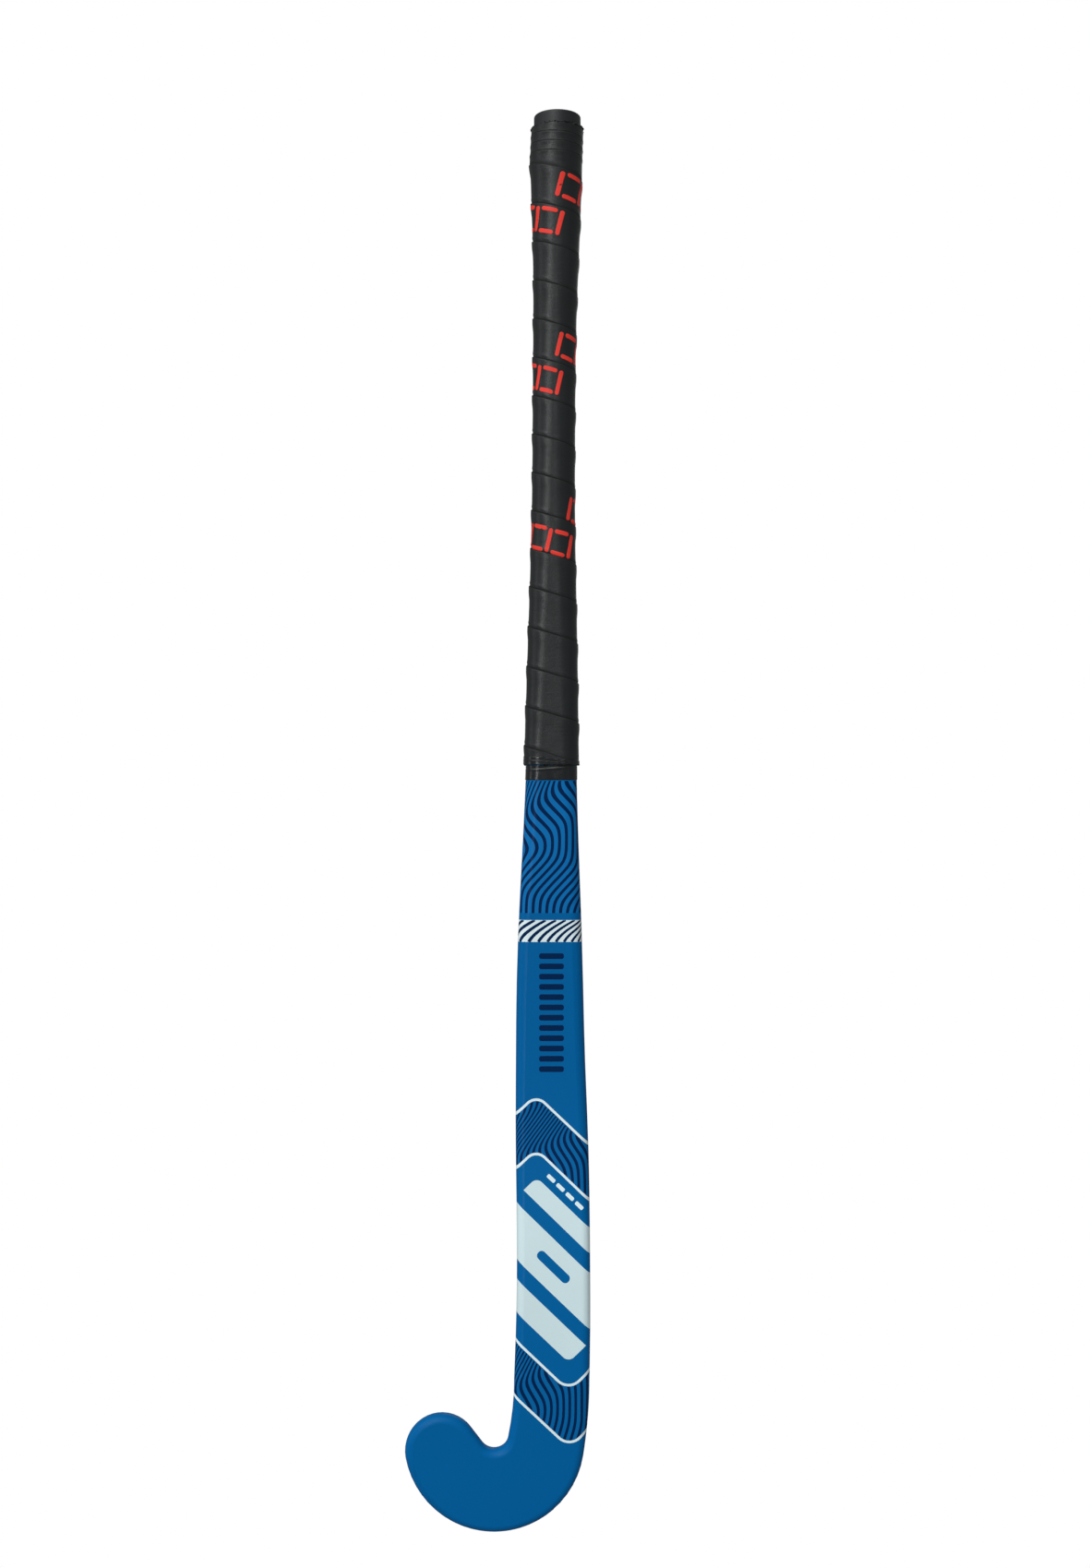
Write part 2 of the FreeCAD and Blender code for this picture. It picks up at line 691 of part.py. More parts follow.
def make_grip():
    """The wound grip, its soft backing, and the two turns of finishing tape at its lower end."""
    build_up = {"flare": "sizes.grip_build_up / 2"}
    build_up["collar"] = "sizes.grip_build_up"
    build_up["butt"] = "sizes.grip_build_up"
    backing_out = "(-sizes.backing_thickness)"
    grip_out = "(-(sizes.backing_thickness + sizes.grip_thickness))"
    tape_out = f"({grip_out} - sizes.tape_thickness)"
    backing = shaft_form("backing_form", backing_out)
    grip = shaft_form("grip_form", grip_out, build_up)
    tape_over = shaft_form("tape_over_form", tape_out, build_up)
    tape_under = shaft_form("tape_under_form", "(-sizes.tape_thickness)")
    tape_foot = f"({GRIP_END} - sizes.tape_below)"
    tape_middle = f"({GRIP_END} - sizes.tape_gap)"
    tape_top = f"({GRIP_END} + sizes.tape_above)"
    layer("grip_backing", backing, outside, GRIP_END, SHELL_TOP)
    layer("grip_wrap", grip, backing, GRIP_END, SHELL_TOP)
    layer("finish_tape_upper", tape_over, grip, GRIP_END, tape_top)
    layer("finish_tape_lower", tape_under, outside, tape_foot, tape_middle)


def make_artwork():
    for label, foot, top in (
        ("upper_wave_film", "upper_waves_foot", "upper_waves_top"),
        ("pale_band_film", "pale_band_foot", "pale_band_top"),
    ):
        low, high = on_print(f"sizes.{foot}"), on_print(f"sizes.{top}")
        film(label, box(f"{label}_span", low, high))
    for label, direction in (
        ("pinstripe_1", 1),
        ("pinstripe_2", 1),
        ("pinstripe_3", -1),
        ("pinstripe_4", -1),
    ):
        stripe(label, direction)
    panel("middle_wave_film", "pinstripe_1", "pinstripe_2", 1)
    panel("lower_wave_film", "pinstripe_3", "pinstripe_4", -1)
    make_emblem()
    front = "(sizes.bow + sizes.row_depth - sizes.face_plane)"
    rungs = marks(
        "rung_film",
        RUNG_COUNT,
        ("sizes.rungs_middle - sizes.rung_width / 2", on_print("sizes.rungs_foot")),
        None,
        "sizes.rung_width",
        "sizes.rung_height",
        "sizes.rung_round",
        "sizes.rung_pitch",
        "V_Axis",
        front,
    )
    film("rung_film", rungs)
    bars = marks(
        "bar_film",
        BAR_COUNT,
        ("sizes.bars_across", on_print("sizes.bars_up")),
        "stripe_slope",
        "sizes.bar_length",
        "sizes.bar_width",
        "sizes.bar_width / 3",
        "sizes.bar_pitch",
        "H_Axis",
        front,
    )
    film("bar_film", bars)


def make_emblem():
    """The pale panel, with two bare channels straight across it and a slot between them."""
    panel_top = (corner("emblem_top"), 1, "sizes.emblem_round")
    panel_foot = (corner("emblem_foot"), -1, "sizes.emblem_round")
    whole = common("emblem_skin", outside, band("emblem_film", panel_top, panel_foot))
    channels = marks(
        "emblem_channels",
        CHANNEL_COUNT,
        centred_on_slope(
            "sizes.emblem_middle",
            on_print("sizes.emblem_lower_channel"),
            "2 * sizes.reach",
            "sizes.emblem_channel",
        ),
        "stripe_slope",
        "2 * sizes.reach",
        "sizes.emblem_channel",
        "sizes.emblem_channel / 3",
        "sizes.emblem_channel_pitch",
        "V_Axis",
        "sizes.reach",
    )
    slot = marks(
        "emblem_slot",
        1,
        centred_on_slope(
            "sizes.emblem_middle",
            on_print("sizes.emblem_slot_up"),
            "sizes.emblem_slot_length",
            "sizes.emblem_slot_width",
        ),
        "stripe_slope",
        "sizes.emblem_slot_length",
        "sizes.emblem_slot_width",
        "sizes.emblem_slot_width * 0.48",
        None,
        None,
        "sizes.reach",
    )
    bare = cut("emblem_channelled", cut("emblem_film_skin", whole, print_bed), channels)
    keep(cut("emblem_film", bare, slot), "emblem_film")


def make_shell():
    """The composite moulding: hollow, with a shallow bed in its surface for each film."""
    shell = cut("hollow_moulding", outside, cavity)
    for label in [name for name in nodes if name.endswith("film") or name.startswith("pinstripe")]:
        shell = cut(f"bed_of_{label}", shell, nodes[label])
    keep(shell, "composite_shell")


def write_parts():
    doc.recompute()
    faults = [o.Name for o in doc.Objects if {"Invalid", "Error"} & set(o.State)]
    if faults:
        raise RuntimeError(f"failed objects: {faults}")
    for label, solid in nodes.items():
        shape = solid.Shape
        if shape.isNull() or not shape.isValid() or not shape.Solids:
            raise RuntimeError(f"{label} has no valid solid")
    os.makedirs("parts", exist_ok=True)
    for label, solid in nodes.items():
        solid.Shape.exportStep(f"parts/{label}.step")


fill_sheet()
ROOM = "(sizes.shell_wall + sizes.bond_gap)"
TUBE_TOP = f"({GRIP_END} + sizes.tube_reach)"
BUTT_ACROSS = f"({NECK_MIDDLE} + sizes.butt_drift)"
BUTT_DEEP = f"({face_at(SHELL_TOP)} + sizes.butt_depth / 2)"
outside = moulding_form("outside", "0")
cavity = moulding_form("cavity", "sizes.shell_wall")
bonded = moulding_form("bonded", ROOM)
print_bed = moulding_form("print_bed", "sizes.film_thickness")
make_inner_tubes()
make_head_filling()
make_handle_filling()
make_end_cap()
make_grip()
make_artwork()
make_shell()
write_parts()
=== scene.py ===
import bisect
import math

import bpy
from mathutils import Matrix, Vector, noise
from mathutils.bvhtree import BVHTree


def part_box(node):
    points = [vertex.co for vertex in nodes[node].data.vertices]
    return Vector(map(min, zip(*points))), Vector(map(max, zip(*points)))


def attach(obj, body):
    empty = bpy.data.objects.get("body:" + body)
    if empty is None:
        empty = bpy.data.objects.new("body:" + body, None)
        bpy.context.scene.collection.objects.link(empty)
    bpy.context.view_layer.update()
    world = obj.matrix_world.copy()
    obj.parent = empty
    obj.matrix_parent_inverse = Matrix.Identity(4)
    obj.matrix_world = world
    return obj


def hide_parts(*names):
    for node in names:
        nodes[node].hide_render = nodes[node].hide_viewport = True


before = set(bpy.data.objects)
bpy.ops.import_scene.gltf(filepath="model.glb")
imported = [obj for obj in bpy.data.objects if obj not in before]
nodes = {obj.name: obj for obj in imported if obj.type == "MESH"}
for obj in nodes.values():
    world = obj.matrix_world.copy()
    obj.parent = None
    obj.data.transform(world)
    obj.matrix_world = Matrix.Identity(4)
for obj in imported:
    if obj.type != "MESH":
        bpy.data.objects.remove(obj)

MM = 0.001
TURN = 2 * math.pi
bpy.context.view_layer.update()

FILMS = [name for name in nodes if name.endswith("_film") or name.startswith("pinstripe")]
MOULDING = ["composite_shell", *FILMS]
grip_low, grip_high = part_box("grip_wrap")
NECK = (Vector(grip_low) + Vector(grip_high)) / 2  # the middle of the handle

# ---------------------------------------------------------------- colours


def shade(red, green, blue):
    """A display colour, 0 to 255 a channel, as the linear colour that a shader takes."""

    def linear(channel):
        part = channel / 255
        return part / 12.92 if part <= 0.04045 else ((part + 0.055) / 1.055) ** 2.4

    return (linear(red), linear(green), linear(blue), 1.0)


BLUE = shade(0, 102, 168)
BLUE_DEEP = shade(0, 96, 158)
WAVE_BLUE = shade(14, 122, 196)
PANEL_BLUE = shade(12, 102, 166)
NAVY = shade(0, 34, 82)
ICE = shade(222, 250, 254)
PALE_GREY = shade(204, 222, 226)
WHITE = shade(240, 250, 252)
GRIP_BLACK = shade(21, 28, 30)
GRIP_DARK = shade(12, 17, 19)
# Painted shade: the near-black laid along the grip's laps, where the groove lies in shade.
LAP_PAINTED_SHADE = shade(5, 6, 6)
CAP_BLACK = shade(32, 37, 39)
TAPE_BLACK = shade(18, 25, 28)
RED = shade(244, 62, 50)
CREAM = shade(214, 205, 178)
CREAM_DEEP = shade(196, 186, 160)
NAVY_PALE = shade(0, 40, 80)
LAMINATE_GREY = shade(60, 60, 62)
LAMINATE_DEEP = shade(38, 38, 40)
FOAM_PALE = shade(222, 214, 190)
FOAM_DEEP = shade(204, 196, 170)
PLASTIC_GREY = shade(60, 60, 60)
PLASTIC_DEEP = shade(48, 48, 48)

# ---------------------------------------------------------------- materials


class Value:
    """A value in a material's tree, so that shader maths reads as plain expressions."""

    def __init__(self, paint, socket):
        self.paint = paint
        self.socket = socket

    def maths(self, operation, *values):
        return self.paint.node("ShaderNodeMath", {"operation": operation}, dict(enumerate(values)))

    def __add__(self, other):
        return self.maths("ADD", self, other)

    def __radd__(self, other):
        return self.maths("ADD", other, self)

    def __sub__(self, other):
        return self.maths("SUBTRACT", self, other)

    def __rsub__(self, other):
        return self.maths("SUBTRACT", other, self)

    def __mul__(self, other):
        return self.maths("MULTIPLY", self, other)

    def __rmul__(self, other):
        return self.maths("MULTIPLY", other, self)


class Paint:
    """A material under construction."""

    def __init__(self, name):
        self.material = bpy.data.materials.new(name)
        self.material.use_nodes = True
        self.tree = self.material.node_tree
        self.shader = self.tree.nodes["Principled BSDF"]

    def node(self, kind, settings=None, inputs=None, output=0):
        node = self.tree.nodes.new(kind)
        for key, value in (settings or {}).items():
            if key == "stops":
                for stop, (place, colour) in zip(node.color_ramp.elements, value):
                    stop.position = place
                    stop.color = colour
            else:
                setattr(node, key, value)
        for key, value in (inputs or {}).items():
            self.feed(node.inputs[key], value)
        return Value(self, node.outputs[output])

    def feed(self, socket, value):
        if isinstance(value, Value):
            self.tree.links.new(value.socket, socket)
        else:
            socket.default_value = value

    def here(self, stretch=(1, 1, 1)):
        """Object coordinates, in metres, stretched along each axis."""
        place = self.node("ShaderNodeTexCoord", output="Object")
        return self.node("ShaderNodeMapping", None, {"Vector": place, "Scale": stretch})

    def noise(self, place, scale, detail=2.0, roughness=0.5):
        inputs = {"Vector": place, "Scale": scale, "Detail": detail, "Roughness": roughness}
        return self.node("ShaderNodeTexNoise", None, inputs)

    def cells(self, place, scale):
        return self.node("ShaderNodeTexVoronoi", None, {"Vector": place, "Scale": scale})

    def ramp(self, value, low, high):
        """0 below low, 1 above high, and a straight run between."""
        settings = {"stops": [(low, (0, 0, 0, 1)), (high, (1, 1, 1, 1))]}
        return self.node("ShaderNodeValToRGB", settings, {0: value})

    def mix(self, factor, one, other):
        """One colour where the factor is 0, the other where it is 1."""
        settings = {"data_type": "RGBA"}
        return self.node("ShaderNodeMix", settings, {0: factor, 6: one, 7: other}, output=2)

    def bump(self, height, distance):
        return self.node("ShaderNodeBump", None, {"Height": height, "Distance": distance})

    def finish(self, sockets):
        """Feeds the main shader's sockets and gives the finished material."""
        for key, value in sockets.items():
            self.feed(self.shader.inputs[key], value)
        return self.material


PORES = 1500.0  # cells a metre in the skin of the grip tape
LACQUER_COAT = 0.1
LACQUER_PEEL = 0.03 * MM


def lacquer(name, colour, deep):
    """Coloured coat under clear lacquer: slow tone changes, faint orange peel, rare fine scuffs."""
    paint = Paint(name)
    here = paint.here()
    cloud = paint.noise(here, 9.0, 3.0)
    peel = paint.noise(here, 420.0, 1.0)
    scuffs = paint.ramp(paint.noise(paint.here((1, 1, 0.16)), 260.0, 5.0, 0.7), 0.66, 0.78)
    dust = paint.ramp(paint.noise(here, 1500.0, 2.0), 0.60, 0.75)
    return paint.finish(
        {
            "Base Color": paint.mix(cloud, colour, deep),
            "Roughness": 0.36 + 0.08 * peel + 0.16 * scuffs + 0.06 * dust,
            "Specular IOR Level": 0.02,
            "Coat Weight": LACQUER_COAT - 0.06 * scuffs,
            "Coat Roughness": 0.3,
            "Normal": paint.bump(peel, LACQUER_PEEL),
        }
    )


def satin_wrap():
    """Cushioned tape: a satin skin with fine pores, wrinkles, a paler bloom and painted shade along
    the laps.
    """
    paint = Paint("wound_grip_tape")
    here = paint.here()
    pores = paint.cells(here, PORES)
    creases = paint.noise(paint.here((1, 1, 2.2)), 260.0, 4.0, 0.62)
    bloom = paint.noise(here, 34.0, 3.0)
    wrinkles = paint.noise(paint.here((0.35, 0.35, 2.4)), 210.0, 4.0, 0.6)
    height = 0.25 * pores + 0.5 * creases + 1.3 * wrinkles
    # Painted shade: the tape's colour darkens to near-black along each lap, where the groove lies in
    # shade.
    lap = paint.node("ShaderNodeAttribute", {"attribute_name": "lap_shadow"}, output="Fac")
    skin = paint.mix(bloom, GRIP_DARK, GRIP_BLACK)
    return paint.finish(
        {
            "Base Color": paint.mix(lap, skin, LAP_PAINTED_SHADE),
            "Roughness": 0.34 + 0.14 * creases + 0.5 * lap,
            "Specular IOR Level": 0.5,
            "Normal": paint.bump(height, 0.11 * MM),
        }
    )


def print_ink():
    """Ink printed on the wound tape, worn thin in patches."""
    paint = Paint("red_print")
    here = paint.here()
    wear = paint.ramp(paint.noise(here, 900.0, 4.0, 0.7), 0.62, 0.80)
    return paint.finish(
        {
            "Base Color": paint.mix(0.5 * wear, RED, GRIP_BLACK),
            "Roughness": 0.52 + 0.1 * wear,
            "Specular IOR Level": 0.3,
            "Normal": paint.bump(paint.cells(here, PORES), 0.03 * MM),
        }
    )


def stretched_vinyl():
    """Finishing tape pulled tight: glossy, with fine stretch lines round the shaft."""
    paint = Paint("stretched_vinyl_tape")
    lines = paint.noise(paint.here((0.12, 0.12, 1.0)), 1500.0, 3.0)
    blotches = paint.noise(paint.here((1, 1, 2.0)), 140.0, 3.0)
    return paint.finish(
        {
            "Base Color": paint.mix(blotches, TAPE_BLACK, GRIP_DARK),
            "Roughness": 0.16 + 0.22 * blotches,
            "Specular IOR Level": 0.5,
            "Normal": paint.bump(lines + 1.6 * blotches, 0.09 * MM),
        }
    )


def moulded_rubber():
    """The cap's rubber: a fine grain, dulled in patches."""
    paint = Paint("moulded_cap_rubber")
    here = paint.here()
    grain = paint.cells(here, 2200.0)
    wear = paint.noise(here, 120.0, 4.0)
    return paint.finish(
        {
            "Base Color": paint.mix(wear, CAP_BLACK, GRIP_DARK),
            "Roughness": 0.42 + 0.16 * wear,
            "Normal": paint.bump(grain, 0.03 * MM),
        }
    )


def inner_material(name, colour, other, scale, distance, roughness=0.7):
    """What lies inside the moulding: laminate, foam or plain plastic."""
    paint = Paint(name)
    here = paint.here()
    grain = paint.noise(here, scale, 4.0, 0.6)
    return paint.finish(
        {
            "Base Color": paint.mix(grain, colour, other),
            "Roughness": roughness + 0.1 * grain,
            "Normal": paint.bump(grain, distance * MM),
        }
    )


def give(material, *names):
    """Gives nodes their finish."""
    for name in names:
        for slot in nodes[name].material_slots:
            slot.material = material


# ---------------------------------------------------------------- surfaces to work on


OUTSIDE = 1.0  # well clear of the stick, for rays that look inwards from there
RAY_START = 0.2
EDGE_MARGIN = 0.2 * MM  # rays stay this far inside a surface's upper and lower edges


class Skin:
    """The outer surface of some nodes, met from outside round an upright middle line."""

    STEPS = 60  # rays from the middle of the front to the middle of the back

    def __init__(self, names, low, high, middle_from=None):
        points = []
        faces = []
        for name in names:
            mesh = nodes[name].data
            first = len(points)
            points += [vertex.co.copy() for vertex in mesh.vertices]
            faces += [[first + index for index in face.vertices] for face in mesh.polygons]
        self.tree = BVHTree.FromPolygons(points, faces)
        self.low = low + EDGE_MARGIN
        self.high = high - EDGE_MARGIN
        self.middle_from = middle_from or self.low
        self.middles = {}
        self.halves = {}

    def look(self, start, way):
        """Where a ray first meets the surface."""
        return self.tree.ray_cast(Vector(start), Vector(way))[0]

    def middle(self, height):
        """The middle of the section at a height."""
        key = round(height / MM)
        if key not in self.middles:
            level = min(max(key * MM, self.middle_from), self.high)
            across = Vector((NECK.x, NECK.y, level))
            for _ in range(2):
                front = self.look((across.x, -OUTSIDE, level), (0, 1, 0))
                back = self.look((across.x, OUTSIDE, level), (0, -1, 0))
                across.y = (front.y + back.y) / 2
                left = self.look((-OUTSIDE, across.y, level), (1, 0, 0))
                right = self.look((OUTSIDE, across.y, level), (-1, 0, 0))
                across.x = (left.x + right.x) / 2
            self.middles[key] = across
        return self.middles[key]

    def meet(self, angle, height, lift=0.0):
        """The surface at an angle and height. Angle 0 is the toe side, a quarter turn the front."""
        level = min(max(height, self.low), self.high)
        whole = math.floor(height / MM)
        middle = self.middle(whole * MM).lerp(self.middle((whole + 1) * MM), height / MM - whole)
        outward = Vector((-math.cos(angle), -math.sin(angle), 0))
        start = Vector((middle.x, middle.y, level)) + outward * RAY_START
        hit, normal, _, _ = self.tree.ray_cast(start, -outward)
        if normal.dot(outward) < 0:
            normal = -normal
        hit.z = min(max(height, self.low - EDGE_MARGIN), self.high + EDGE_MARGIN)
        return hit + normal * lift

    def half(self, side, height):
        """Angles and distances from the middle of the front to the middle of the back."""
        key = (side, round(height / MM))
        if key not in self.halves:
            turns = [TURN / 4 + side * TURN / 2 * step / self.STEPS for step in range(self.STEPS + 1)]
            points = [self.meet(angle, key[1] * MM) for angle in turns]
            lengths = [0.0]
            for one, other in zip(points, points[1:]):
                lengths.append(lengths[-1] + (other - one).length)
            self.halves[key] = (turns, lengths)
        return self.halves[key]

    def reach(self, side, height):
        """The distance from the middle of the front round to the middle of the back."""
        return self.half(side, height)[1][-1]

    def around(self, along, height, lift=0.0):
        """The surface at a distance round from the middle of the front, positive to the heel."""
        turns, lengths = self.half(1 if along >= 0 else -1, height)
        place = min(abs(along), lengths[-1])
        step = bisect.bisect_left(lengths, place, 1, len(lengths) - 1) - 1
        part = (place - lengths[step]) / (lengths[step + 1] - lengths[step])
        angle = turns[step] + (turns[step + 1] - turns[step]) * part
        return self.meet(angle, height, lift)


def new_piece(name, points, faces, material):
    """A mesh with one finish, carried by the stick."""
    mesh = bpy.data.meshes.new(name)
    mesh.from_pydata([tuple(point) for point in points], [], faces)
    mesh.validate()
    piece = bpy.data.objects.new(name, mesh)
    bpy.context.scene.collection.objects.link(piece)
    mesh.materials.append(material)
    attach(piece, "root")
    return piece


def choose(piece):
    """Selects one piece and nothing else."""
    bpy.ops.object.select_all(action="DESELECT")
    piece.select_set(True)
    bpy.context.view_layer.objects.active = piece


def tidy_mesh(piece, angle=50):
    """Merges doubles, drops faces without area, turns faces outwards and smooths them."""
    choose(piece)
    bpy.ops.object.mode_set(mode="EDIT")
    bpy.ops.mesh.select_all(action="SELECT")
    bpy.ops.mesh.remove_doubles(threshold=0.01 * MM)
    bpy.ops.mesh.dissolve_degenerate(threshold=0.005 * MM)
    bpy.ops.mesh.normals_make_consistent(inside=False)
    bpy.ops.object.mode_set(mode="OBJECT")
    bpy.ops.object.shade_smooth_by_angle(angle=math.radians(angle))


def face_outwards(piece):
    """Turns a skin's faces away from the handle's middle line, where most of them face it."""
    inward = 0
    for face in piece.data.polygons:
        away = Vector((face.center.x - NECK.x, face.center.y - NECK.y, 0))
        inward += 1 if face.normal.dot(away) < 0 else -1
    if inward > 0:
        choose(piece)
        bpy.ops.object.mode_set(mode="EDIT")
        bpy.ops.mesh.select_all(action="SELECT")
        bpy.ops.mesh.flip_normals()
        bpy.ops.object.mode_set(mode="OBJECT")


def modify(piece, kind, **settings):
    """Adds a modifier and applies it."""
    choose(piece)
    modifier = piece.modifiers.new(kind.title(), kind)
    for key, value in settings.items():
        setattr(modifier, key, value)
    bpy.ops.object.modifier_apply(modifier=modifier.name)


# ---------------------------------------------------------------- the wound grip

CLOSE_TURNS = 3  # turns wound nearly on top of each other below the cap
CLOSE_PITCH = 6.1 * MM
PITCH = 25.1 * MM  # one full turn of the tape, down the handle
LOOSE_PITCH = 26.4 * MM
LOOSE_AFTER = 11  # turns before the winder's pitch opens out
FIRST_SEAM = grip_high[2] - 4.2 * MM
STEP = 0.62 * MM  # how far a turn's edge stands over the turn before
EDGE_ROUND = 0.45 * MM  # the edge rises to its full step over this height
STEP_FROM, STEP_FALL = 3.0 * MM, 8 * MM  # where the step starts to fade, and over what height
LAP_RIDGE = 0.22 * MM  # the turn above stands out a little just before it is lapped
RIDGE_AT, RIDGE_SPREAD = 2.3 * MM, 0.8 * MM  # distance above the next lap, and softness
GROOVE = 0.34 * MM  # depth of the groove along a lap
GROOVE_WIDTH = 0.9 * MM
CLOSE_SHARE = 0.45  # relief of the close turns, against that of the others
TOP_SHARE, TOP_FADE = 0.25, 5 * MM  # relief left at the cap, and the height over which it fades
BULGE, BULGE_HEIGHT, BULGE_SPREAD = 0.55 * MM, 0.897, 7 * MM  # the bulge on the toe side
WANDER = 0.5 * MM  # how far a seam strays up and down
UNEVEN = 0.10 * MM  # how far the surface strays in and out
SHADOW_REACH = 0.42 * MM  # softness of the painted shade along a lap
ABOVE_LAP = 0.7  # under 1, so the painted shade reaches further above the lap than below it
CLOSE_SHADOW = 0.6  # depth of the painted shade on the close turns
GRIP_WALL = 0.8 * MM
# Rows of the mesh in one turn, as distances below its upper edge in millimetres.
ROWS = (0, 0.2, 0.45, 0.9, 1.6, 2.6, 4, 6, 9, 13, 17, 20, 21.6, 22.3, 23, 23.6, 24.1, 24.5, 24.8, 25)
GRIP_COLUMNS = 96
FLATTEN = 9 * MM  # the winding lies flat over this height, above the finishing tape


def turn_pitch(turn):
    """How far down the handle a turn of the tape runs."""
    if turn < CLOSE_TURNS:
        return CLOSE_PITCH
    if turn < CLOSE_TURNS + LOOSE_AFTER:
        return PITCH
    return LOOSE_PITCH


def seam_height(turns):
    """Height of the seam after so many turns down from the cap, starting at the toe side."""
    whole = math.floor(turns)
    height = FIRST_SEAM
    for turn in range(0, max(whole, 0)):
        height -= turn_pitch(turn)
    for turn in range(min(whole, 0), 0):
        height += CLOSE_PITCH
    return height - (turns - whole) * turn_pitch(whole)


def smooth_step(part):
    """0 below 0, 1 above 1, and a soft rise between."""
    part = min(max(part, 0.0), 1.0)
    return part * part * (3 - 2 * part)


def wrap_profile(below, pitch):
    """How far the tape stands out at a distance below its own upper edge."""
    room = pitch / PITCH
    rise = math.sqrt(min(below / EDGE_ROUND, 1.0))
    fall = smooth_step((below / room - STEP_FROM) / STEP_FALL)
    ridge = math.exp(-(((pitch - below) / room - RIDGE_AT) / RIDGE_SPREAD) ** 2)
    groove = max(0.0, 1 - (pitch - below) / (GROOVE_WIDTH * room))
    return STEP * rise * (1 - fall) + LAP_RIDGE * ridge - GROOVE * groove


def flutter(angle, height, size, seed):
    """A smooth wander, without a jump where a turn closes."""
    place = Vector((math.cos(angle) * 2, math.sin(angle) * 2, height / (18 * MM) + seed))
    return size * noise.noise(place)


def grip_surface(angle, turns, lift=0.0):
    """The grip at an angle and a number of turns down from the cap."""
    height = seam_height(turns)
    phase = (turns - angle / TURN) % 1.0
    turn = math.floor(turns - angle / TURN + 1e-9)
    pitch = turn_pitch(turn)
    height += flutter(angle, height, WANDER, 3.0) * (1 - abs(2 * phase - 1))
    out = wrap_profile(phase * pitch, pitch)
    if turn < CLOSE_TURNS:
        out *= CLOSE_SHARE
    out *= smooth_step((height - grip_low[2] - FLATTEN / 3) / FLATTEN)
    out *= TOP_SHARE + (1 - TOP_SHARE) * smooth_step((grip_high[2] - height) / TOP_FADE)
    toe_side = max(0.0, math.cos(angle))
    out += BULGE * toe_side * math.exp(-(((height - BULGE_HEIGHT) / BULGE_SPREAD) ** 2))
    out += flutter(angle, height * 2, UNEVEN, 11.0)
    return grip_skin.meet(angle, height, out + lift)


def lap_shadow(start):
    """How deep in the shadow of a lap a row of the grip lies, from 0 to 1."""
    pitch = turn_pitch(math.floor(start))
    below = (start % 1.0) * pitch
    apart = min(below, (pitch - below) * ABOVE_LAP)
    depth = CLOSE_SHADOW if start < CLOSE_TURNS else 1.0
    return depth * math.exp(-((apart / SHADOW_REACH) ** 2))


def make_grip(material):
    """One long turn of tape after another, each lapping over the one above it."""
    turns = 0
    shadows = []
    while seam_height(turns) > grip_low[2]:
        turns += 1
    starts = [turn + row * MM / PITCH for turn in range(-3, turns + 2) for row in ROWS]
    points = []
    for start in starts:
        for column in range(GRIP_COLUMNS):
            angle = TURN * column / GRIP_COLUMNS
            points.append(grip_surface(angle, start + column / GRIP_COLUMNS))
            shadows.append(lap_shadow(start))
    faces = []
    for row in range(len(starts) - len(ROWS) - 1):
        for column in range(GRIP_COLUMNS):
            beside = column + 1
            shift = 0
            if beside == GRIP_COLUMNS:
                beside = 0
                shift = len(ROWS)
            corners = [
                row * GRIP_COLUMNS + column,
                (row + shift) * GRIP_COLUMNS + beside,
                (row + shift + 1) * GRIP_COLUMNS + beside,
                (row + 1) * GRIP_COLUMNS + column,
            ]
            heights = [points[corner].z for corner in corners]
            if min(heights) < grip_high[2] - 1e-6 and max(heights) > grip_low[2] + 1e-6:
                faces.append(corners)
    grip = new_piece("wound_grip", points, faces, material)
    shadow = grip.data.attributes.new("lap_shadow", "FLOAT", "POINT")
    shadow.data.foreach_set("value", shadows)
    tidy_mesh(grip, 80)
    face_outwards(grip)
    modify(grip, "SOLIDIFY", thickness=GRIP_WALL, offset=-1)
    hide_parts("grip_wrap")


# ---------------------------------------------------------------- finishing tape

TAPE_COLUMNS = 120
TAPE_ROWS = 28
TAPE_LIFT = 0.10 * MM
TAPE_WALL = 0.25 * MM
TAPE_SLOPE = 1.6 * MM  # how far a torn edge falls from the toe side to the heel side
PULL = 0.12 * MM  # how far stretching leaves the surface uneven
CREASE, CREASE_WIDTH = 0.34 * MM, 0.055  # height, and width as a share of the turn's
DIP = 0.16 * MM  # the hollow beside the crease
ROLLED_FROM, ROLLED = 0.93, 0.12 * MM  # where the upper edge starts to roll in, and how far


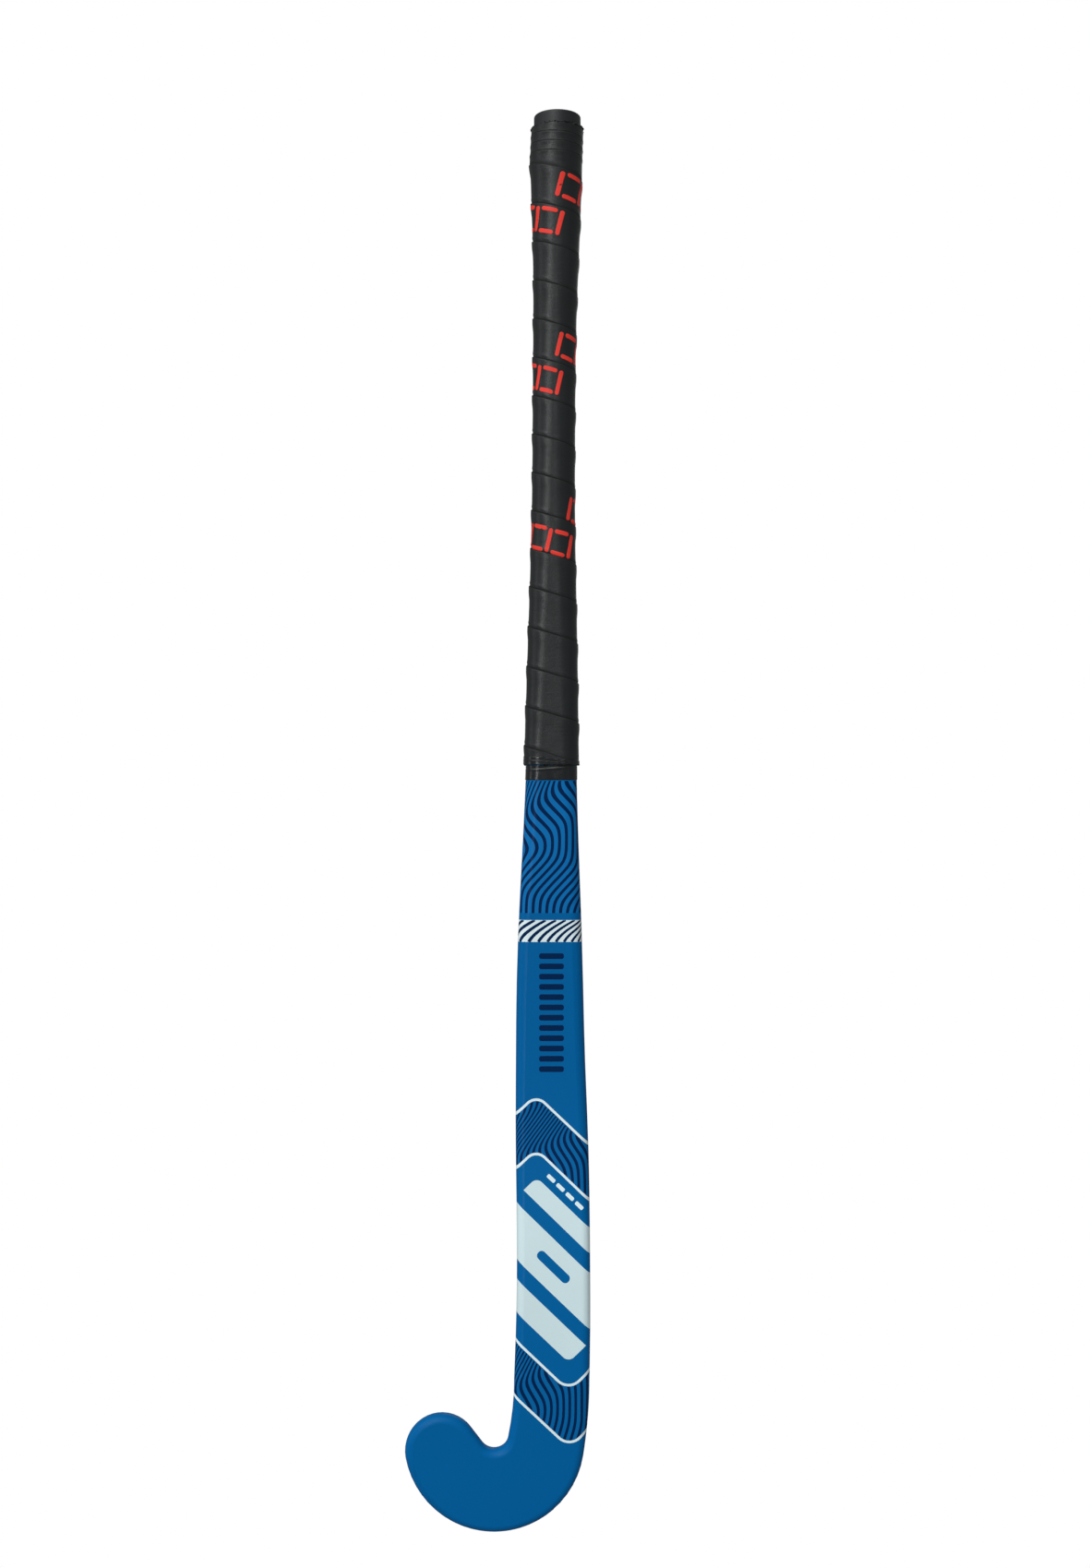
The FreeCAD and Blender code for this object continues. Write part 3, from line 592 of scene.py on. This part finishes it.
def make_tape(name, material, ragged, crease_share, seed):
    """One turn of stretched tape: fine pulls round it, a slack crease and a torn upper edge."""
    low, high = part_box(name)[0][2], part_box(name)[1][2]
    skin = Skin([name], low, high)
    points = []
    for row in range(TAPE_ROWS + 1):
        part = row / TAPE_ROWS
        for column in range(TAPE_COLUMNS):
            angle = TURN * column / TAPE_COLUMNS
            spot = Vector((math.cos(angle) * 5, math.sin(angle) * 5, seed))
            tear = ragged * (0.5 + 0.5 * noise.noise(spot))
            height = low + (high - tear - low) * part
            if ragged:
                height += TAPE_SLOPE * math.cos(angle) * part - TAPE_SLOPE * part
            out = flutter(angle, height * 3, PULL, seed)
            crease = (part - crease_share - 0.10 * math.sin(angle + seed)) / CREASE_WIDTH
            front = max(0.0, math.sin(angle + 0.2))
            out += CREASE * front * math.exp(-crease * crease)
            out -= DIP * front * math.exp(-((crease - 2.2) ** 2))
            if part > ROLLED_FROM:
                out -= ROLLED * (part - ROLLED_FROM) / (1 - ROLLED_FROM)
            points.append(skin.meet(angle, height, out + TAPE_LIFT))
    faces = []
    for row in range(TAPE_ROWS):
        for column in range(TAPE_COLUMNS):
            beside = (column + 1) % TAPE_COLUMNS
            faces.append(
                (
                    row * TAPE_COLUMNS + column,
                    row * TAPE_COLUMNS + beside,
                    (row + 1) * TAPE_COLUMNS + beside,
                    (row + 1) * TAPE_COLUMNS + column,
                )
            )
    tape = new_piece(f"{name}_turn", points, faces, material)
    tidy_mesh(tape, 70)
    face_outwards(tape)
    modify(tape, "SOLIDIFY", thickness=TAPE_WALL, offset=-1)
    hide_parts(name)


# ---------------------------------------------------------------- prints on the wound grip

PRINT_STARTS = ((0.8785, 1.62), (0.7755, 1.7), (0.6690, 2.3))  # height and angle of each group
PRINT_ORDER = "|=|=|=|=|=|=|"  # upright bars and pairs of long bars, along the winding
PRINT_HEIGHT = 16.5 * MM
PRINT_LIFT = 0.07 * MM
PRINT_WALL = 0.05 * MM
PRINT_SLANT = 0.22  # how far a print leans, as a share of its height
PRINT_GIRTH = 14.5 * MM  # radius that turns a print's width into an angle
PRINT_GAP = 1.3 * MM
PRINT_MESH = 0.8 * MM  # longest edge round a print
PAIR_WIDTH = 9.8 * MM
STROKE = 2.8 * MM
CORNER_STEPS = 7
BANDS = 4  # rings of faces from a print's outline to its middle line


def rounded_loop(width, height, radius):
    """Points round a rectangle with round corners, about its middle."""
    loop = []
    for corner in range(4):
        right = 1 if corner in (0, 3) else -1
        up = 1 if corner in (0, 1) else -1
        for step in range(CORNER_STEPS + 1):
            turn = (corner + step / CORNER_STEPS) * TURN / 4
            x = right * (width / 2 - radius) + radius * math.cos(turn)
            y = up * (height / 2 - radius) + radius * math.sin(turn)
            loop.append((x, y))
    return loop


def fill_gaps(loop, longest):
    """The same loop with no two neighbours further apart than a length."""
    filled = []
    for one, other in zip(loop, loop[1:] + loop[:1]):
        pieces = max(1, math.ceil(math.dist(one, other) / longest))
        for piece in range(pieces):
            part = piece / pieces
            filled.append((one[0] + (other[0] - one[0]) * part, one[1] + (other[1] - one[1]) * part))
    return filled


def grip_print(angle, height, x, y):
    """A print's point, x round the grip and y up it, on the wound surface."""
    x += y * PRINT_SLANT
    place = angle + x / PRINT_GIRTH
    level = height + y - x * (PITCH / (TURN * PRINT_GIRTH))
    return grip_surface(place % TURN, turns_at(level), PRINT_LIFT)


def turns_at(height):
    """How many turns down from the cap a height lies."""
    low, high = -3.0, 22.0
    for _ in range(32):
        middle = (low + high) / 2
        if seam_height(middle) > height:
            low = middle
        else:
            high = middle
    return (low + high) / 2


def make_print(name, material, angle, height, width, tall):
    """A solid bar with round corners, its middle drawn in to a line."""
    outer = fill_gaps(rounded_loop(width, tall, min(width, tall) / 2.02), PRINT_MESH)
    shrink_x = 0.999 * min(1.0, tall / width)
    shrink_y = 0.999 * min(1.0, width / tall)
    points = []
    for band in range(BANDS + 1):
        part = band / BANDS
        for x, y in outer:
            near_x = x * (1 - shrink_x * part)
            near_y = y * (1 - shrink_y * part)
            points.append(grip_print(angle, height, near_x, near_y))
    count = len(outer)
    faces = []
    for band in range(BANDS):
        for step in range(count):
            beside = (step + 1) % count
            faces.append(
                (
                    band * count + step,
                    band * count + beside,
                    (band + 1) * count + beside,
                    (band + 1) * count + step,
                )
            )
    block = new_piece(name, points, faces, material)
    tidy_mesh(block)
    face_outwards(block)
    modify(block, "SOLIDIFY", thickness=PRINT_WALL, offset=-1)


def make_prints(material):
    """Groups of plain bars, upright and lying, that follow the winding once round."""
    rise = (PRINT_HEIGHT - STROKE) / 2
    for group, (top, start) in enumerate(PRINT_STARTS, 1):
        angle = start
        for number, mark in enumerate(PRINT_ORDER, 1):
            name = f"grip_print_{group}_{number}"
            width = PAIR_WIDTH if mark == "=" else STROKE
            angle += width / 2 / PRINT_GIRTH
            height = top - (angle - start) * PITCH / TURN
            if mark == "=":
                aside = rise * PRINT_SLANT / PRINT_GIRTH
                upper, lower = height + rise, height - rise
                make_print(f"{name}_upper", material, angle + aside, upper, width, STROKE)
                make_print(f"{name}_lower", material, angle - aside, lower, width, STROKE)
            else:
                make_print(name, material, angle, height, width, PRINT_HEIGHT)
            angle += (width / 2 + PRINT_GAP) / PRINT_GIRTH


# ---------------------------------------------------------------- lines of the artwork

LINE_LIFT = 0.045 * MM
LINE_WALL = 0.04 * MM
LINE_STEP = 0.8 * MM
SOFTNESS = 2.8 * MM  # how gently a wave line turns
ACROSS = 3  # faces across a line
EDGE_SEARCH = 0.4 * MM  # steps up or down in the search for a film's edge
ON_FILM = 0.04 * MM  # a point nearer to a film than this lies on it
LINE_COUNT = 40  # wave lines tried each side of the middle
LINE_REACH = 34 * MM  # a line that stays further from the middle than this is left out


def bend(value):
    """0 before zero, then a run of slope one, joined by a soft turn."""
    share = value / SOFTNESS
    if share > 30:
        return value
    return SOFTNESS * math.log1p(math.exp(share))


def wave_place(number, down, wave):
    """How far from the middle of the front a wave line lies at a distance below the top."""
    target = number * wave["spacing"]
    low, high = -0.09, 0.09
    for _ in range(26):
        place = (low + high) / 2
        upper = down + wave["tilt"] * place
        lower = down - wave["lower_tilt"] * place
        field = place
        for slope, start in wave["upper"]:
            field += slope * bend(upper - start)
        for slope, start in wave["lower"]:
            field += slope * bend(lower - start)
        if field < target:
            low = place
        else:
            high = place
    return (low + high) / 2


def flat_line(centre, widths):
    """The corners and faces of a line drawn flat through points of (along, height)."""
    points = []
    count = len(centre) - 1
    for step, (along, height) in enumerate(centre):
        before = centre[max(step - 1, 0)]
        after = centre[min(step + 1, count)]
        run = math.dist(before, after)
        aside = ((before[1] - after[1]) / run, (after[0] - before[0]) / run)
        half = widths[step] / 2
        for place in range(ACROSS + 1):
            off = half * (2 * place / ACROSS - 1)
            points.append((along + aside[0] * off, height + aside[1] * off))
    faces = []
    for step in range(count):
        for place in range(ACROSS):
            corner = step * (ACROSS + 1) + place
            faces.append((corner, corner + 1, corner + ACROSS + 2, corner + ACROSS + 1))
    return points, faces


def lay_lines(name, material, lines, low, high):
    """Lays flat lines on the front, and mirrored on the back, between two edges of the artwork."""
    points = []
    faces = []
    for flat_points, flat_faces in lines:
        for on_back in (False, True):
            first = len(points)
            inside = []
            for along, height in flat_points:
                side = 1 if along >= 0 else -1
                reach = stick_skin.reach(side, height)
                kept = side * min(abs(along), reach / 2)
                if on_back:
                    kept = side * reach - kept
                floor, roof = low(kept), high(kept)
                inside.append(abs(along) <= reach / 2 and floor < height < roof)
                level = min(max(height, floor), roof)
                points.append(stick_skin.around(kept, level, LINE_LIFT))
            for face in flat_faces:
                if any(inside[corner] for corner in face):
                    order = face if on_back else face[::-1]
                    faces.append([first + corner for corner in order])
    piece = new_piece(name, points, faces, material)
    choose(piece)
    bpy.ops.object.mode_set(mode="EDIT")
    bpy.ops.mesh.select_all(action="SELECT")
    bpy.ops.mesh.remove_doubles(threshold=0.004 * MM)
    bpy.ops.mesh.dissolve_degenerate(threshold=0.004 * MM)
    bpy.ops.object.mode_set(mode="OBJECT")
    modify(piece, "SOLIDIFY", thickness=LINE_WALL, offset=-1)


def film_edge(name, upper):
    """How high a film's upper or lower edge lies at a distance round from the front's middle."""
    mesh = nodes[name].data
    faces = [list(face.vertices) for face in mesh.polygons]
    tree = BVHTree.FromPolygons([vertex.co.copy() for vertex in mesh.vertices], faces)
    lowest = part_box(name)[0][2]
    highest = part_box(name)[1][2]
    found = {}

    def edge(key):
        if key not in found:
            levels = [lowest]
            while levels[-1] < highest:
                levels.append(levels[-1] + EDGE_SEARCH)
            if upper:
                levels.reverse()
            found[key] = levels[-1]
            for level in levels:
                point = stick_skin.around(key * MM, level)
                if tree.find_nearest(point)[3] < ON_FILM:
                    found[key] = level
                    break
        return found[key]

    def smooth(along):
        whole = math.floor(along / MM)
        part = along / MM - whole
        return edge(whole) * (1 - part) + edge(whole + 1) * part

    return smooth


# A panel's lines are a spacing apart to begin with. Each pair in "upper" and "lower" is a change
# of their slope and the distance below the panel's top at which it starts; the tilts lean those
# places across the panel. A line's width is a share of its gap to the next.
UPPER_WAVES = {
    "spacing": 4.5 * MM,
    "tilt": 0.8,
    "lower_tilt": 0.3,
    "upper": ((0.70, -60 * MM), (-1.26, 6.5 * MM), (0.56, 36 * MM)),
    "lower": ((0.74, 49.5 * MM), (-0.74, 79 * MM)),
    "share": 0.43,
}
MIDDLE_WAVES = {
    "spacing": 4.1 * MM,
    "tilt": 0.45,
    "lower_tilt": 0.0,
    "upper": ((1.25, 0.5 * MM), (-1.8, 26 * MM), (0.55, 48 * MM)),
    "lower": (),
    "share": 0.46,
}
LOWER_WAVES = {
    "spacing": 3.9 * MM,
    "tilt": 0.7,
    "lower_tilt": 0.3,
    "upper": ((0.8, -60 * MM), (-1.25, 12 * MM), (0.45, 36 * MM)),
    "lower": ((0.3, 48 * MM),),
    "share": 0.44,
}


def make_waves(film, wave, material):
    """Navy contour lines over a wave film, spaced and bent by its own rules."""
    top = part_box(film)[1][2]
    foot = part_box(film)[0][2]
    steps = math.ceil((top - foot) / LINE_STEP)
    downs = [(top - foot) * step / steps for step in range(steps + 1)]
    places = {}
    for number in range(-LINE_COUNT, LINE_COUNT + 1):
        places[number] = [wave_place(number, down, wave) for down in downs]
    lines = []
    for number in range(-LINE_COUNT, LINE_COUNT):
        line = places[number]
        if min(abs(along) for along in line) > LINE_REACH:
            continue
        widths = []
        for step, along in enumerate(line):
            gap = places[number + 1][step] - along
            before = max(step - 1, 0)
            after = min(step + 1, steps)
            lean = (line[after] - line[before]) / (downs[after] - downs[before])
            widths.append(wave["share"] * gap / math.hypot(1, lean))
        centre = [(along, top - down) for along, down in zip(line, downs)]
        lines.append(flat_line(centre, widths))
    low, high = film_edge(film, False), film_edge(film, True)
    lay_lines(f"{film}_lines", material, lines, low, high)


def make_band_lines(material):
    """Navy diagonals that sweep up across the pale band, thinner towards the heel."""
    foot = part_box("pale_band_film")[0][2]
    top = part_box("pale_band_film")[1][2]
    lines = []
    parts = [step / 20 for step in range(21)]
    place, last = -44 * MM, 36 * MM
    gap, least_gap = 8.2 * MM, 4.6 * MM
    while place < last:
        centre = []
        for part in parts:
            sweep = (7 * part + 14 * part * part - 3 * part * part * part) * MM
            centre.append((place + sweep, foot + (top - foot) * part))
        widths = [0.33 * gap * (1.1 - 0.35 * part) for part in parts]
        lines.append(flat_line(centre, widths))
        place += gap
        gap = max(least_gap, gap * 0.94)
    low, high = film_edge("pale_band_film", False), film_edge("pale_band_film", True)
    lay_lines("pale_band_lines", material, lines, low, high)


# ---------------------------------------------------------------- room and camera


STICK_MIDDLE = (0.03, 0, 0.5)


def area_light(name, place, width, height, power):
    """An upright panel of light, turned to the middle of the stick."""
    light = bpy.data.lights.new(name, "AREA")
    light.shape = "RECTANGLE"
    light.size = width
    light.size_y = height
    light.energy = power
    lamp = bpy.data.objects.new(name, light)
    lamp.location = place
    lamp.rotation_euler = (Vector(STICK_MIDDLE) - Vector(place)).to_track_quat("-Z", "Y").to_euler()
    bpy.context.scene.collection.objects.link(lamp)


def make_room():
    """Soft light on a plain white ground, which lights the stick less than it looks."""
    world = bpy.data.worlds.new("white_ground")
    bpy.context.scene.world = world
    world.use_nodes = True
    tree = world.node_tree
    ambient = tree.nodes["Background"]
    ambient.inputs["Color"].default_value = (1, 1, 1, 1)
    ambient.inputs["Strength"].default_value = 0.24
    seen = tree.nodes.new("ShaderNodeBackground")
    seen.inputs["Color"].default_value = (1, 1, 1, 1)
    ray = tree.nodes.new("ShaderNodeLightPath")
    mix = tree.nodes.new("ShaderNodeMixShader")
    tree.links.new(ray.outputs["Is Camera Ray"], mix.inputs[0])
    tree.links.new(ambient.outputs[0], mix.inputs[1])
    tree.links.new(seen.outputs[0], mix.inputs[2])
    tree.links.new(mix.outputs[0], tree.nodes["World Output"].inputs["Surface"])
    area_light("key", (-0.72, -2.1, 0.9), 0.30, 2.0, 15)
    area_light("side", (-2.0, -0.5, 0.9), 0.4, 2.0, 4)
    area_light("fill", (1.9, -2.4, 0.9), 1.6, 1.8, 1)
    area_light("rim", (0.6, 2.4, 1.4), 1.6, 1.6, 6)
    sky = bpy.data.lights.new("sky", "SUN")
    sky.energy = 1.6
    sky.angle = math.radians(60)
    lamp = bpy.data.objects.new("sky", sky)
    lamp.rotation_euler = (math.radians(40), 0, math.radians(-30))
    bpy.context.scene.collection.objects.link(lamp)
    bpy.context.scene.view_settings.view_transform = "Standard"


def make_camera():
    """A camera square to the front, about level with the stick's middle."""
    data = bpy.data.cameras.new("camera")
    data.sensor_fit = "VERTICAL"
    data.sensor_height = 24
    data.lens = 28.25
    camera = bpy.data.objects.new("camera", data)
    camera.location = (0.0307, -1.222, 0.4874)
    camera.rotation_euler = (math.radians(90), 0, 0)
    bpy.context.scene.collection.objects.link(camera)
    bpy.context.scene.camera = camera


make_room()
make_camera()
grip_skin = Skin(["grip_wrap"], grip_low[2], grip_high[2])

blue = lacquer("blue_lacquer", BLUE, BLUE_DEEP)
navy = lacquer("navy_film", NAVY, NAVY_PALE)
ice = lacquer("ice_film", ICE, WHITE)
give(blue, "composite_shell")
give(lacquer("bright_wave_film", WAVE_BLUE, PANEL_BLUE), "upper_wave_film")
give(lacquer("panel_wave_film", PANEL_BLUE, BLUE), "middle_wave_film", "lower_wave_film")
give(ice, "pale_band_film", "pinstripe_1", "pinstripe_2", "pinstripe_3", "pinstripe_4", "bar_film")
give(lacquer("emblem_film", PALE_GREY, ICE), "emblem_film")
give(navy, "rung_film")
vinyl = stretched_vinyl()
make_tape("finish_tape_upper", vinyl, 1.8 * MM, 0.42, 2.0)
make_tape("finish_tape_lower", vinyl, 0.0, 0.72, 5.0)
give(moulded_rubber(), "end_cap")
laminate = inner_material("bare_laminate", LAMINATE_GREY, LAMINATE_DEEP, 700, 0.05)
foam = inner_material("rigid_foam", FOAM_PALE, FOAM_DEEP, 900, 0.2, 0.85)
give(laminate, "toe_side_tube", "heel_side_tube", "impact_ply")
give(foam, "head_core", "handle_core")
give(inner_material("plug_plastic", PLASTIC_GREY, PLASTIC_DEEP, 500, 0.03), "butt_plug")
give(inner_material("felt_backing", CREAM, CREAM_DEEP, 1500, 0.1), "grip_backing")
make_grip(satin_wrap())
make_prints(print_ink())
join_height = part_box("toe_side_tube")[0][2]
stick_skin = Skin(MOULDING, 0.0, grip_low[2], join_height)
wave_ink = lacquer("wave_line_ink", NAVY, NAVY_PALE)
make_waves("upper_wave_film", UPPER_WAVES, wave_ink)
make_waves("middle_wave_film", MIDDLE_WAVES, wave_ink)
make_waves("lower_wave_film", LOWER_WAVES, wave_ink)
make_band_lines(wave_ink)
